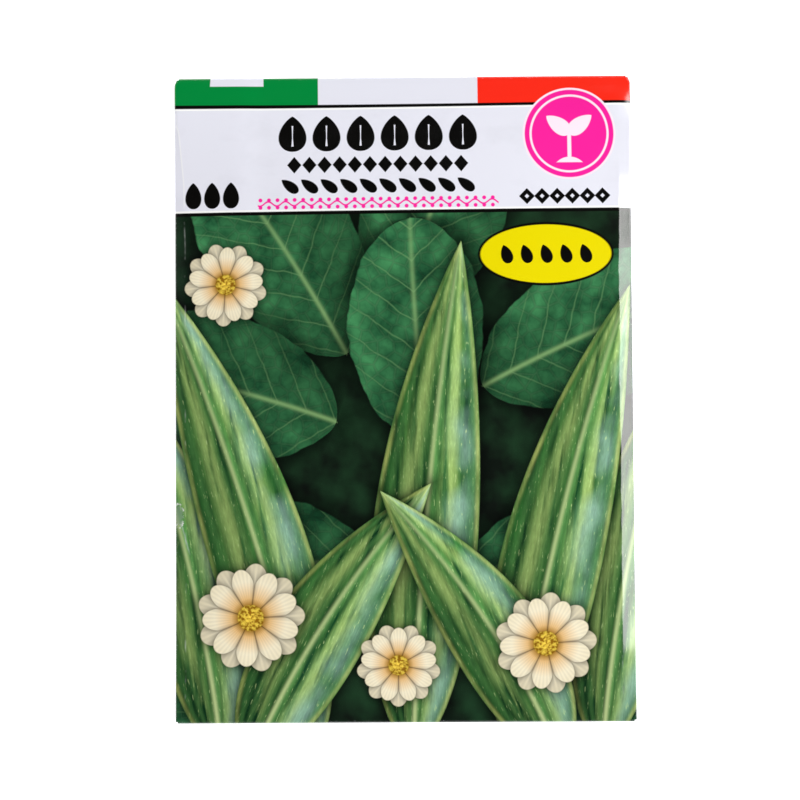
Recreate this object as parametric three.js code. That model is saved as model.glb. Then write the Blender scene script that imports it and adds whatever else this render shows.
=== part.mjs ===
// A filled paper seed packet, lying on its back: one printed sheet folded and glued into an envelope,
// the dried glue of its three seams, and the flat seeds inside.
// Millimetres. +Z is up out of the front, +Y points to the top end, +X to the right.
import * as THREE from "three";
import { mergeGeometries, mergeVertices } from "three/addons/utils/BufferGeometryUtils.js";

// The folded packet, 3 1/4 by 4 1/2 inches nominal, and how its top corners draw in
const PACKET_WIDTH = 81.1;
const PACKET_LENGTH = 114.3;
const CORNER_DRAW = 0.4;
const CORNER_LENGTH = 0.8;
const CORNER_POWER = 9;

// The sheet and its folds
const PAPER = 0.15;
const FOLD_GAP = 0.1;
const SEAM_GAP = 0.12;
const SIDE_TAB = 11;
const TOP_FLAP = 15.5;
const BOTTOM_FLAP = 12.5;
const FLAP_INSET = 0.6;
const FLAP_TAPER = 1.1;

// The filled shape
const FRONT_RISE = 3.0;
const BACK_DROP = 1.4;
const BASE_HALF_WIDTH = 28;
const LEFT_SHOULDER = { width: 1.8, share: 0.25 };
const RIGHT_SHOULDER = { width: 2.5, share: 0.4 };
const CROWN_POWER = 2.3;
const SIDE_PULL = 0.09;
const TOP_SLOPE = 26;
const BOTTOM_SLOPE = 22;
const TAB_EDGE_SLOPE = 5;

// The glue: its thickness, the strip beside the left fold, and the two under the flaps
const GLUE = 0.04;
const SIDE_GLUE = { left: 2.5, right: 8, bottom: -51, top: 49.5 };
const FLAP_GLUE_INSET = 5;
const TOP_GLUE = { bottom: 45, top: 54 };
const BOTTOM_GLUE = { bottom: -54.5, top: -47.5 };

// The seeds, and where their middles may lie
const SEED_COUNT = 18;
const SEED_LENGTH = 14.5;
const SEED_WIDTH = 8.2;
const SEED_THICKNESS = 2.3;
const SEED_TIP_NARROWING = 0.3;
const SEED_GAP = 0.15;
const SEED_SPACING = 9;
const SEED_AREA = { left: -25, right: 26, bottom: -40, top: 20 };
const DRAW_SEED = 7;

// Worked out from the above
const HALF_WIDTH = PACKET_WIDTH / 2;
const HALF_LENGTH = PACKET_LENGTH / 2;
const LAYER_STEP = PAPER + SEAM_GAP;
const SIDE_FOLD = (PAPER + FOLD_GAP) / 2;
const END_FOLD = SIDE_FOLD + LAYER_STEP / 2;
const SIDE_END = HALF_WIDTH + Math.PI * SIDE_FOLD;
const FLAP_START = HALF_LENGTH + Math.PI * END_FOLD;
const END_CENTRE = HALF_LENGTH - END_FOLD - PAPER / 2;
const CREASE_HEIGHT = BACK_DROP + SIDE_FOLD + PAPER / 2;

// Grid lines of the sheet: distances from a side fold, and places along the packet
const FROM_FOLD = [
  0, FLAP_INSET, LEFT_SHOULDER.width, RIGHT_SHOULDER.width, FLAP_GLUE_INSET, SIDE_GLUE.right, SIDE_TAB,
  SIDE_TAB + TAB_EDGE_SLOPE, 21.5, 27.5, 34,
];
const ACROSS = [
  ...FROM_FOLD.map((distance) => distance - HALF_WIDTH),
  0,
  ...FROM_FOLD.map((distance) => HALF_WIDTH - distance).reverse(),
];
const ALONG = [
  -HALF_LENGTH, BOTTOM_GLUE.bottom, SIDE_GLUE.bottom, BOTTOM_GLUE.top, BOTTOM_FLAP - HALF_LENGTH, -41, -38,
  BOTTOM_SLOPE - HALF_LENGTH, -26, -16, -6, 4, 14, 23, HALF_LENGTH - TOP_SLOPE, 34.5, 38,
  HALF_LENGTH - TOP_FLAP, TOP_GLUE.bottom, SIDE_GLUE.top, TOP_GLUE.top, HALF_LENGTH - CORNER_LENGTH,
  HALF_LENGTH,
];
const FOLD_STEPS = 4;

// The sides of a box, in the order in which BoxGeometry lists them
const [RIGHT, LEFT, TOP, BOTTOM, , UNDERSIDE] = [0, 1, 2, 3, 4, 5];

const { clamp, lerp, mapLinear, smoothstep } = THREE.MathUtils;

// 0 at the pressed ends, 1 where the packet is full
function fullness(y) {
  return smoothstep(HALF_LENGTH - y, 0, TOP_SLOPE) * smoothstep(HALF_LENGTH + y, 0, BOTTOM_SLOPE);
}

// Half the distance between the centre lines of the two side folds
function foldOffset(y) {
  return HALF_WIDTH - SIDE_FOLD - PAPER / 2 - SIDE_PULL * fullness(y);
}

// How far the sheet draws in beside a top corner
function cornerDraw(share, y) {
  const intoCorner = clamp((y - HALF_LENGTH) / CORNER_LENGTH + 1, 0, 1);
  return CORNER_DRAW * intoCorner ** 2 * share ** CORNER_POWER;
}

// Heights of the middle of the paper. share runs from -1 at the left fold to 1 at the right one.
// The front passes over the side tab, which lifts it by one layer along its left side.
function frontHeight(share, y) {
  const fromLeftFold = (1 + share) * HALF_WIDTH;
  const overTab = 1 - smoothstep(fromLeftFold, SIDE_TAB, SIDE_TAB + TAB_EDGE_SLOPE);
  const shoulder = share < 0 ? LEFT_SHOULDER : RIGHT_SHOULDER;
  const fromMiddle = Math.abs(share) * HALF_WIDTH;
  const crownHalf = HALF_WIDTH - shoulder.width;
  const rise = fromMiddle > crownHalf
    ? (shoulder.share * (HALF_WIDTH - fromMiddle)) / shoulder.width
    : lerp(1, shoulder.share, (fromMiddle / crownHalf) ** CROWN_POWER);
  return CREASE_HEIGHT + SIDE_FOLD + LAYER_STEP * overTab + FRONT_RISE * rise * fullness(y);
}

function backHeight(share, y) {
  const pastBase = Math.max(Math.abs(share) * HALF_WIDTH - BASE_HALF_WIDTH, 0);
  const drop = 1 - (pastBase / (HALF_WIDTH - BASE_HALF_WIDTH)) ** 2;
  return CREASE_HEIGHT - SIDE_FOLD - BACK_DROP * drop * fullness(y);
}

// Where a point of the flat sheet lies on the folded packet. The front panel is centred on 0, 0.
// Past its right edge come the right fold and the back panel, past its left edge the left fold and
// the side tab, and past its ends the end folds and the flaps.
function folded(across, along) {
  const y = clamp(along, -HALF_LENGTH, HALF_LENGTH);
  if (Math.abs(across) > HALF_WIDTH) return pastSideFold(across, y);
  if (Math.abs(along) > HALF_LENGTH) return pastEndFold(across, along);
  const share = across / HALF_WIDTH;
  return placed(share, y, frontHeight(share, y));
}

function placed(share, y, z) {
  const x = share * foldOffset(y) - cornerDraw(share, y);
  return new THREE.Vector3(x, (y / HALF_LENGTH) * END_CENTRE, z);
}

function pastSideFold(across, y) {
  const side = Math.sign(across);
  const lift = side < 0 ? LAYER_STEP : 0;
  const inwards = Math.abs(across) - SIDE_END;
  if (inwards >= 0) {
    const share = side * (1 - inwards / HALF_WIDTH);
    return placed(share, y, backHeight(share, y) + lift);
  }
  const turn = Math.PI / 2 - (Math.abs(across) - HALF_WIDTH) / SIDE_FOLD;
  const point = placed(side, y, CREASE_HEIGHT + lift + SIDE_FOLD * Math.sin(turn));
  point.x += side * SIDE_FOLD * Math.cos(turn);
  return point;
}

function pastEndFold(across, along) {
  const end = Math.sign(along);
  const onFlap = Math.max(Math.abs(along) - FLAP_START, 0);
  const edge = HALF_WIDTH - FLAP_INSET - (FLAP_TAPER * onFlap) / TOP_FLAP;
  const share = clamp(across, -edge, edge) / HALF_WIDTH;
  const y = end * (HALF_LENGTH - onFlap);
  const under = backHeight(share, y) - LAYER_STEP;
  if (onFlap > 0) return placed(share, y, under);
  const turn = Math.PI / 2 - (Math.abs(along) - HALF_LENGTH) / END_FOLD;
  const point = placed(share, y, mapLinear(Math.sin(turn), -1, 1, under, frontHeight(share, y)));
  point.y += end * END_FOLD * Math.cos(turn);
  return point;
}

// The direction out of the printed side
function printedSide(across, along) {
  const step = 0.01;
  const alongX = folded(across + step, along).sub(folded(across - step, along));
  const alongY = folded(across, along + step).sub(folded(across, along - step));
  return alongX.cross(alongY).normalize();
}

// A flat slab on a grid of lines, left open on the sides where the sheet goes on. Both faces are
// split along the same diagonals, so that the paper keeps its thickness where it twists.
function slab(across, along, thickness, openSides = []) {
  const columns = across.length - 1;
  const rows = along.length - 1;
  const box = new THREE.BoxGeometry(1, 1, thickness, columns, rows, 1);
  const corners = box.attributes.position;
  const facing = box.attributes.normal;
  for (let i = 0; i < corners.count; i++) {
    const mirror = facing.getZ(i) < 0 ? -1 : 1;
    const column = Math.round((mirror * corners.getX(i) + 0.5) * columns);
    const row = Math.round((corners.getY(i) + 0.5) * rows);
    corners.setXY(i, across[column], along[row]);
  }
  const faces = [];
  box.groups.forEach(({ start, count }, side) => {
    const part = Array.from(box.index.array.slice(start, start + count));
    if (side === UNDERSIDE) part.reverse();
    if (!openSides.includes(side)) faces.push(...part);
  });
  return new THREE.BufferGeometry().setAttribute("position", corners).setIndex(faces);
}

// Moves each corner to the place that a rule gives for it
function moved(geometry, rule) {
  const corners = geometry.attributes.position;
  const corner = new THREE.Vector3();
  for (let i = 0; i < corners.count; i++) {
    const place = rule(corner.fromBufferAttribute(corners, i));
    corners.setXYZ(i, place.x, place.y, place.z);
  }
  geometry.computeVertexNormals();
  return geometry;
}

function evenly(from, to) {
  return Array.from({ length: FOLD_STEPS + 1 }, (_, i) => lerp(from, to, i / FOLD_STEPS));
}

// The grid lines of a layer that lies under the front, in the order in which the sheet meets them
function continued(lines, edge, start) {
  return lines.map((line) => start + Math.abs(edge - line)).sort((a, b) => a - b);
}

function envelopeGeometry() {
  const middle = ACROSS.slice(1, -1);
  const back = continued(ACROSS.slice(1), HALF_WIDTH, SIDE_END);
  const tabLines = between(ACROSS, HALF_WIDTH - SIDE_TAB, HALF_WIDTH);
  const tab = continued(tabLines, HALF_WIDTH, SIDE_END).map((x) => -x).reverse();
  const topLines = between(ALONG, HALF_LENGTH - TOP_FLAP, HALF_LENGTH);
  const topFlap = continued(topLines, HALF_LENGTH, FLAP_START);
  const bottomLines = between(ALONG, -HALF_LENGTH, BOTTOM_FLAP - HALF_LENGTH);
  const bottomFlap = continued(bottomLines, -HALF_LENGTH, FLAP_START).map((y) => -y).reverse();
  const pieces = [
    slab(middle, ALONG, PAPER, [LEFT, RIGHT, TOP, BOTTOM]),
    slab(ACROSS.slice(0, 2), ALONG, PAPER, [LEFT, RIGHT]),
    slab(ACROSS.slice(-2), ALONG, PAPER, [LEFT, RIGHT]),
    slab(evenly(HALF_WIDTH, SIDE_END), ALONG, PAPER, [LEFT, RIGHT]),
    slab(back, ALONG, PAPER, [LEFT]),
    slab(evenly(-SIDE_END, -HALF_WIDTH), ALONG, PAPER, [LEFT, RIGHT]),
    slab(tab, ALONG, PAPER, [RIGHT]),
    slab(middle, evenly(HALF_LENGTH, FLAP_START), PAPER, [TOP, BOTTOM]),
    slab(middle, topFlap, PAPER, [BOTTOM]),
    slab(middle, evenly(-FLAP_START, -HALF_LENGTH), PAPER, [TOP, BOTTOM]),
    slab(middle, bottomFlap, PAPER, [TOP]),
  ];
  const sheet = mergeVertices(mergeGeometries(pieces), 1e-4);
  return moved(sheet, ({ x, y, z }) => folded(x, y).addScaledVector(printedSide(x, y), z));
}

function between(lines, from, to) {
  return lines.filter((line) => line >= from && line <= to);
}

// A strip of dried glue midway between the back panel and the layer at a given step from it
function glueGeometry(left, right, { bottom, top }, step) {
  const strip = slab(between(ACROSS, left, right), between(ALONG, bottom, top), GLUE);
  return moved(strip, ({ x, y, z }) => {
    const share = x / HALF_WIDTH;
    return placed(share, y, backHeight(share, y) + step / 2 + z);
  });
}

// A flat pointed seed: a sphere pressed into a lens with an egg-shaped outline, its tip at +X
function seedGeometry() {
  const sphere = new THREE.SphereGeometry(1, 14, 7).rotateX(Math.PI / 2);
  return moved(sphere, ({ x, y, z }) => {
    const ring = Math.hypot(x, y);
    const towardsTip = ring > 0 ? x / ring : 0;
    const width = 1 - SEED_TIP_NARROWING * (towardsTip + ((1 + towardsTip) / 2) ** 6);
    const thickness = Math.sign(z) * Math.sqrt(Math.abs(z));
    return {
      x: (x * SEED_LENGTH) / 2,
      y: (y * width * SEED_WIDTH) / 2,
      z: (thickness * SEED_THICKNESS) / 2,
    };
  });
}

// Height of the surface that the seeds lie on, which is the back panel or the tab glued to it
function floorHeight(x, y) {
  const share = x / foldOffset(y);
  const onTab = (1 + share) * HALF_WIDTH < SIDE_TAB + SEED_GAP;
  return backHeight(share, (y * HALF_LENGTH) / END_CENTRE) + PAPER / 2 + (onTab ? LAYER_STEP : 0);
}

// Repeatable random numbers between 0 and 1
function drawer(start) {
  let state = start;
  return () => {
    state = (state * 16807) % 2147483647;
    return state / 2147483647;
  };
}

// Lays a seed flat on the floor under it, just high enough to clear it all round its outline
function layDown(mesh, { x, y, angle }) {
  const reach = 1;
  const slopeX = (floorHeight(x + reach, y) - floorHeight(x - reach, y)) / (2 * reach);
  const slopeY = (floorHeight(x, y + reach) - floorHeight(x, y - reach)) / (2 * reach);
  const up = new THREE.Vector3(-slopeX, -slopeY, 1).normalize();
  const lean = new THREE.Quaternion().setFromUnitVectors(new THREE.Vector3(0, 0, 1), up);
  const turn = new THREE.Quaternion().setFromAxisAngle(new THREE.Vector3(0, 0, 1), angle);
  mesh.quaternion.copy(lean).multiply(turn);
  const outline = Array.from({ length: 24 }, (_, i) => {
    const around = (i * Math.PI) / 12;
    const alongSeed = (Math.cos(around) * SEED_LENGTH) / 2;
    const acrossSeed = (Math.sin(around) * SEED_WIDTH) / 2;
    return new THREE.Vector3(alongSeed, acrossSeed, 0).applyQuaternion(turn);
  });
  const over = outline.map((p) => floorHeight(x + p.x, y + p.y) - slopeX * p.x - slopeY * p.y);
  mesh.position.set(x, y, Math.max(...over, floorHeight(x, y)) + SEED_THICKNESS / 2 + SEED_GAP);
}

// Three points along a seed's middle line, which keep two seeds apart
function spine({ x, y, angle }) {
  return [-1, 0, 1].map((i) => {
    const reach = (i * (SEED_LENGTH - SEED_WIDTH)) / 2;
    return new THREE.Vector2(x + reach * Math.cos(angle), y + reach * Math.sin(angle));
  });
}

function scatteredSeeds() {
  const draw = drawer(DRAW_SEED);
  const places = [];
  while (places.length < SEED_COUNT) {
    const place = {
      x: lerp(SEED_AREA.left, SEED_AREA.right, draw()),
      y: lerp(SEED_AREA.bottom, SEED_AREA.top, draw()),
      angle: 2 * Math.PI * draw(),
    };
    const points = spine(place);
    const clear = places.every((other) =>
      spine(other).every((p) => points.every((q) => p.distanceTo(q) > SEED_SPACING)));
    if (clear) places.push(place);
  }
  return places;
}

const printedPaper = new THREE.MeshStandardMaterial({ color: 0x4d8a5b, roughness: 0.35, metalness: 0 });
const driedGlue = new THREE.MeshStandardMaterial({ color: 0xe6dcc0, roughness: 0.5, metalness: 0 });
const seedCoat = new THREE.MeshStandardMaterial({ color: 0xe3d3ab, roughness: 0.6, metalness: 0 });

const packet = new THREE.Group();

function add(name, geometry, material) {
  const mesh = new THREE.Mesh(geometry, material);
  mesh.name = name;
  packet.add(mesh);
  return mesh;
}

add("envelope", envelopeGeometry(), printedPaper);

const sideGlueLeft = SIDE_GLUE.left - HALF_WIDTH;
const sideGlueRight = SIDE_GLUE.right - HALF_WIDTH;
const flapGlueEdge = HALF_WIDTH - FLAP_GLUE_INSET;
add("side_seam_glue", glueGeometry(sideGlueLeft, sideGlueRight, SIDE_GLUE, LAYER_STEP), driedGlue);
add("top_flap_glue", glueGeometry(-flapGlueEdge, flapGlueEdge, TOP_GLUE, -LAYER_STEP), driedGlue);
add("bottom_flap_glue", glueGeometry(-flapGlueEdge, flapGlueEdge, BOTTOM_GLUE, -LAYER_STEP), driedGlue);

scatteredSeeds().forEach((place, i) => {
  layDown(add(`seed_${String(i + 1).padStart(2, "0")}`, seedGeometry(), seedCoat), place);
});

export default packet;
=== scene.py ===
from math import cos, pi, radians, sin

import bmesh
import bpy
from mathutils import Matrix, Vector, noise


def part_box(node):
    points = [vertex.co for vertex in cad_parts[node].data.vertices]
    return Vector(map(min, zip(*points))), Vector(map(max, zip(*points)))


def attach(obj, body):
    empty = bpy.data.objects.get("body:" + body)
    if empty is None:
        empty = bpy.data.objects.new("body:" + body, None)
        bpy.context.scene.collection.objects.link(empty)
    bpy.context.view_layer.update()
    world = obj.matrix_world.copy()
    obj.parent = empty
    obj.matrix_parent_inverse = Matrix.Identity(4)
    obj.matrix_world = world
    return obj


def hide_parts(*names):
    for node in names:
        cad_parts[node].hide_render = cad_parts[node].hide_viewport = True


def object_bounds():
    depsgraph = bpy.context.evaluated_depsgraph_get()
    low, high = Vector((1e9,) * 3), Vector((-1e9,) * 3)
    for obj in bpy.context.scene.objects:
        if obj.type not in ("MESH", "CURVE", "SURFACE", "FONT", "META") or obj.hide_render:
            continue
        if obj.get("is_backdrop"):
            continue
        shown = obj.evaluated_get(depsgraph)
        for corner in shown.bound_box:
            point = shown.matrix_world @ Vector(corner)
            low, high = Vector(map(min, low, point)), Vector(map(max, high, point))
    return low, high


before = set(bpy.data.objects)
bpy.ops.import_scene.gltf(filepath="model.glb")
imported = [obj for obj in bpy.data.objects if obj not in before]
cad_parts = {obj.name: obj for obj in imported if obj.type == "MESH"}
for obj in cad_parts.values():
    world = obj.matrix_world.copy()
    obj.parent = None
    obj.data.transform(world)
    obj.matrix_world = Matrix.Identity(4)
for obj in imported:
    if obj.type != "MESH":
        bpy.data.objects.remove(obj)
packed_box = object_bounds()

bl_info = {
    "name": "Seed Packet",
    "version": (1, 0, 0),
    "blender": (4, 5, 0),
    "location": "3D View > Sidebar > Seed Packet",
    "description": "A filled paper seed packet with a printed front, its dried glue and its seeds",
    "category": "Object",
}

MM = 0.001
SEED_NODES = sorted(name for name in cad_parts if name.startswith("seed_"))
GLUE_NODES = sorted(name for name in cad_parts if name.endswith("_glue"))
PACKET_LOW, PACKET_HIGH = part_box("envelope")

# Grid of the folded sheet. Beside each side fold a band of fine columns holds the shoulder's crease.
BAND = 4.0
BAND_COLUMN = 0.2
CROWN_COLUMNS = 98
BACK_COLUMNS = 54
TAB_COLUMNS = 8
PICTURE_ROWS = 100
HEADER_ROWS = 26
FOLD_STEPS = 6
FLAP_ROW = 1.1
# Width of a shoulder where its crease has run out into the fold
FLAT_CREASE = 0.15

# The print on the front, in millimetres from the middle of the front panel
PRINT_TURN = radians(0.3)
PRINT_BOW = 0.2
BAND_WHITE = -14.77
BAND_RED = 13.75
UPPER_RULE, UPPER_RULE_THICK, UPPER_RULE_TAPER = 52.5, 0.57, 0.002
LOWER_RULE, LOWER_RULE_THICK = 33.1, 0.62
STAMP_LEFT, STAMP_RIGHT, STAMP_FOOT = -34.06, -24.52, 56.22
HALO = 0.34
BLEED = 4.0

# Soft width of a printed edge, in millimetres: of an ornament, and of a rule
INK_EDGE = 0.14
RULE_EDGE = 0.12

# The camera hangs over the packet and leans a little, as the photograph shows
CAMERA_PLACE = (2.7 * MM, -12.7 * MM, 335.7 * MM)
CAMERA_TURN = (radians(2.11), radians(0.6), radians(-0.366))


def length(label, about, default, low=0.0, high=0.2):
    return bpy.props.FloatProperty(
        name=label, description=about, default=default, min=low, max=high, precision=6,
        subtype="DISTANCE", unit="LENGTH")


def colour(label, about, red, green, blue):
    """A colour given as it looks on screen, from 0 to 255, and kept as linear light."""
    return bpy.props.FloatVectorProperty(
        name=label, description=about, default=linear(red, green, blue), min=0.0, max=1.0,
        size=3, subtype="COLOR")


def linear(red, green, blue):
    shares = (red / 255, green / 255, blue / 255)
    return tuple(s / 12.92 if s <= 0.04045 else ((s + 0.055) / 1.055) ** 2.4 for s in shares)


class PacketShape(bpy.types.PropertyGroup):
    """Sizes of the folded and filled sheet"""

    width: length("Width", "Across the side folds", PACKET_HIGH.x - PACKET_LOW.x)
    length: length("Length", "Between the end folds", PACKET_HIGH.y - PACKET_LOW.y)
    paper: length("Paper", "Thickness of the sheet", 0.15 * MM)
    fold_gap: length("Fold gap", "Clear space inside a side fold", 0.1 * MM)
    seam_gap: length("Seam gap", "Space between two glued layers", 0.12 * MM)
    side_tab: length("Side tab", "Width of the glued tab inside", 11 * MM)
    top_flap: length("Top flap", "Length of the flap at the top end", 15.5 * MM)
    bottom_flap: length("Bottom flap", "Length of the flap at the bottom end", 12.5 * MM)
    front_rise: length("Front rise", "Height of the front above the side folds", 3.0 * MM)
    back_drop: length("Back drop", "Depth of the back below the side folds", 1.4 * MM)
    base_half: length("Base half width", "Half the width of the flat of the back", 28 * MM)
    top_slope: length("Top slope", "Length over which the top end fills out", 26 * MM)
    bottom_slope: length("Bottom slope", "Length over which the bottom fills out", 22 * MM)
    left_shoulder: length("Left shoulder", "Width of the slope by the left fold", 1.6 * MM)
    right_shoulder: length("Right shoulder", "Width of the slope by the right fold", 2.2 * MM)
    buckle: length("Buckle", "How far the filled front waves", 0.12 * MM)


class PacketInk(bpy.types.PropertyGroup):
    """Colours of the print and the paper"""

    paper: colour("Paper", "Bare coated paper", 231, 232, 244)
    halo: colour("Halo", "Whiter line left free of tint beside a rule", 254, 255, 255)
    inside: colour("Inside", "Uncoated inside of the sheet", 226, 222, 210)
    green: colour("Green band", "Left part of the colour band", 0, 136, 60)
    red: colour("Red band", "Right part of the colour band", 252, 44, 26)
    black: colour("Black", "Rules and ornaments", 5, 4, 3)
    pink: colour("Pink", "Round badge and fine line", 252, 36, 160)
    yellow: colour("Yellow", "Oval badge", 236, 220, 1)


class Studio(bpy.types.PropertyGroup):
    """Lights and table"""

    table: colour("Table", "Colour of the table", 250, 250, 252)
    key: bpy.props.FloatProperty(
        name="Key light", description="Power of the broad light on the right, in watts",
        default=10.0, min=0.0, unit="POWER")
    fill: bpy.props.FloatProperty(
        name="Fill lights", description="Power of each wide soft light, in watts",
        default=2.2, min=0.0, unit="POWER")
    table_glow: bpy.props.FloatProperty(
        name="Table glow", description="Light that the table gives of its own, as a light table does",
        default=0.7, min=0.0)


# The filled form

def smoothstep(value, low, high):
    share = min(max((value - low) / (high - low), 0.0), 1.0)
    return share * share * (3 - 2 * share)


def lerp(low, high, share):
    return low + (high - low) * share


def wave(*places):
    """Smooth noise between about -1 and 1."""
    return noise.noise(Vector((places + (0.0, 0.0))[:3]))


class FilledForm:
    """Where each point of the flat sheet lies on the folded, filled packet, in millimetres."""

    # The crown of the front, and the step that the side tab makes in it
    TAB_EDGE_SLOPE = 5
    CROWN_POWER = 2.3
    # How far the back and the flaps stop short of a side fold, and how the flaps narrow
    BACK_INSET = 0.6
    FLAP_INSET = 0.2
    FLAP_TAPER = 1.1
    # The outline: rounded top corners, and sides that the filling draws in
    CORNER_DRAW = 0.4
    CORNER_LENGTH = 0.8
    CORNER_POWER = 9
    SIDE_PULL = 0.09
    # The shoulders: the height of each crease as a share of the crown's, and where it starts or softens
    LEFT_SHARE = 0.12
    LEFT_CREASE_TOP = 49
    LEFT_CREASE_RUN = 16
    RIGHT_SHARE = 0.4
    SOFT_SHARE = 0.12
    SOFT_FROM = 35
    SOFT_RUN = 8
    # The curl at the top right
    CURL = 0.6
    CURL_WIDTH = 3.6
    CURL_FADE = 15
    CURL_POWER = 2.5
    CURL_FROM, CURL_FULL = 47.5, 53
    CURL_END = 4

    def __init__(self, shape):
        for name in PacketShape.__annotations__:
            setattr(self, name, getattr(shape, name) / MM)
        self.half_width = self.width / 2
        self.half_length = self.length / 2
        self.step = self.paper + self.seam_gap
        self.side_fold = (self.paper + self.fold_gap) / 2
        self.end_fold = self.side_fold + self.step / 2
        self.side_end = self.half_width + pi * self.side_fold
        self.flap_start = self.half_length + pi * self.end_fold
        self.end_centre = self.half_length - self.end_fold - self.paper / 2
        self.crease = self.back_drop + self.side_fold + self.paper / 2

    def fullness(self, y):
        """0 at the ends, where the sheet lies flat, and 1 where the contents fill it."""
        return (smoothstep(self.half_length - y, 0, self.top_slope)
                * smoothstep(self.half_length + y, 0, self.bottom_slope))

    def offset(self, y):
        """Distance from the middle to the side fold's centre."""
        return self.half_width - self.side_fold - self.paper / 2 - self.SIDE_PULL * self.fullness(y)

    def corner_draw(self, share, y):
        corner = min(max((y - self.half_length) / self.CORNER_LENGTH + 1, 0.0), 1.0)
        return self.CORNER_DRAW * corner ** 2 * share ** self.CORNER_POWER

    def shoulder(self, side, y):
        """Width of the slope beside a fold. Its crease wanders, and the left one starts at the edge."""
        if side < 0:
            started = min(max((self.LEFT_CREASE_TOP - y) / self.LEFT_CREASE_RUN, 0.0), 1.0) ** 0.5
            return max(self.left_shoulder * started * (1 + 0.16 * wave(y / 7, 4.1)), FLAT_CREASE)
        wander = 1 + 0.09 * wave(y / 9, 1.3) + 0.06 * wave(y / 2.7, 8.2)
        return self.right_shoulder * wander * (1 - 0.1 * smoothstep(y, 18, 40))

    def aligned(self, across, along):
        """Moves a grid column of a band onto the crease, so that it stays sharp all along."""
        from_fold = self.half_width - abs(across)
        if not 0 < from_fold < BAND:
            return across
        side = 1 if across > 0 else -1
        nominal = self.right_shoulder if side > 0 else self.left_shoulder
        freed = smoothstep(self.half_length - abs(along), 0, BAND)
        crease = lerp(nominal, self.shoulder(side, along), freed)
        if from_fold <= nominal:
            moved = from_fold * crease / nominal
        else:
            moved = lerp(crease, BAND, (from_fold - nominal) / (BAND - nominal))
        return side * (self.half_width - moved)

    def on_crease(self, across, along):
        """1 on the grid column that becomes a shoulder's crease, and 0 beside it."""
        nominal = self.right_shoulder if across > 0 else self.left_shoulder
        near = abs(self.half_width - abs(across) - nominal) < BAND_COLUMN / 2
        top = self.SOFT_FROM if across > 0 else self.half_length - BAND
        return float(near and BAND - self.half_length < along < top)

    def front(self, share, y):
        """Height of the front, at a share of the half width from -1 on the left to 1 on the right."""
        from_left = (1 + share) * self.half_width
        over_tab = 1 - smoothstep(from_left, self.side_tab, self.side_tab + self.TAB_EDGE_SLOPE)
        width = self.shoulder(share, y)
        part = self.shoulder_share(share, y)
        from_middle = abs(share) * self.half_width
        crown_half = self.half_width - width
        if from_middle > crown_half:
            rise = part * (self.half_width - from_middle) / width
        else:
            rise = lerp(1, part, (from_middle / crown_half) ** self.CROWN_POWER)
        full = self.fullness(y)
        x = share * self.half_width
        dips = self.buckle * (0.6 * wave(x / 19, y / 27, 2.0) + 0.4 * wave(x / 8, y / 13, 5.0) - 0.7)
        inner = smoothstep(self.half_width - from_middle, 0, 6)
        height = self.front_rise * rise * full + dips * full * inner
        height += self.curl(share, y)
        return self.crease + self.side_fold + self.step * over_tab + height

    def curl(self, share, y):
        """How far the sheet rounds up beside the right fold, near the top where it isn't filled."""
        if share < 0:
            return 0.0
        from_fold = (1 - share) * self.half_width
        rolled = 1 - (1 - min(from_fold / self.CURL_WIDTH, 1)) ** self.CURL_POWER
        faded = 1 - smoothstep(from_fold, self.CURL_WIDTH, self.CURL_FADE)
        started = smoothstep(y, self.CURL_FROM, self.CURL_FULL)
        ended = smoothstep(self.half_length - y, 0, self.CURL_END)
        return self.CURL * rolled * faded * started * ended

    def shoulder_share(self, share, y):
        """Height of a shoulder's crease, as a share of the crown's. The right one softens at the top."""
        if share < 0:
            return self.LEFT_SHARE
        softened = smoothstep(y, self.SOFT_FROM, self.SOFT_FROM + self.SOFT_RUN)
        return lerp(self.RIGHT_SHARE, self.SOFT_SHARE, softened)

    def back(self, share, y):
        """Height of the back panel, which sags under the contents."""
        past = max(abs(share) * self.half_width - self.base_half, 0)
        drop = 1 - (past / (self.half_width - self.base_half)) ** 2
        return self.crease - self.side_fold - self.back_drop * drop * self.fullness(y)

    def placed(self, share, y, z):
        x = share * self.offset(y) - self.corner_draw(share, y)
        return Vector((x, y / self.half_length * self.end_centre, z))

    def folded(self, across, along):
        y = min(max(along, -self.half_length), self.half_length)
        if abs(across) > self.half_width:
            return self.past_side(across, y)
        if abs(along) > self.half_length:
            return self.past_end(across, along)
        share = across / self.half_width
        return self.placed(share, y, self.front(share, y))

    def past_side(self, across, y):
        side = 1 if across > 0 else -1
        lift = self.step if side < 0 else 0
        inwards = abs(across) - self.side_end
        if inwards >= 0:
            share = side * (1 - inwards / self.half_width)
            return self.placed(share, y, self.back(share, y) + lift)
        turn = pi / 2 - (abs(across) - self.half_width) / self.side_fold
        point = self.placed(side, y, self.crease + lift + self.side_fold * sin(turn))
        point.x += side * self.side_fold * cos(turn)
        return point

    def past_end(self, across, along):
        end = 1 if along > 0 else -1
        on_flap = max(abs(along) - self.flap_start, 0)
        edge = self.half_width - self.FLAP_INSET - self.FLAP_TAPER * on_flap / self.top_flap
        share = min(max(across, -edge), edge) / self.half_width
        y = end * (self.half_length - on_flap)
        under = self.back(share, y) - self.step
        if on_flap > 0:
            return self.placed(share, y, under)
        turn = pi / 2 - (abs(along) - self.half_length) / self.end_fold
        point = self.placed(share, y, lerp(under, self.front(share, y), (1 + sin(turn)) / 2))
        point.y += end * self.end_fold * cos(turn)
        return point


# Shader nodes written as arithmetic

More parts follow.
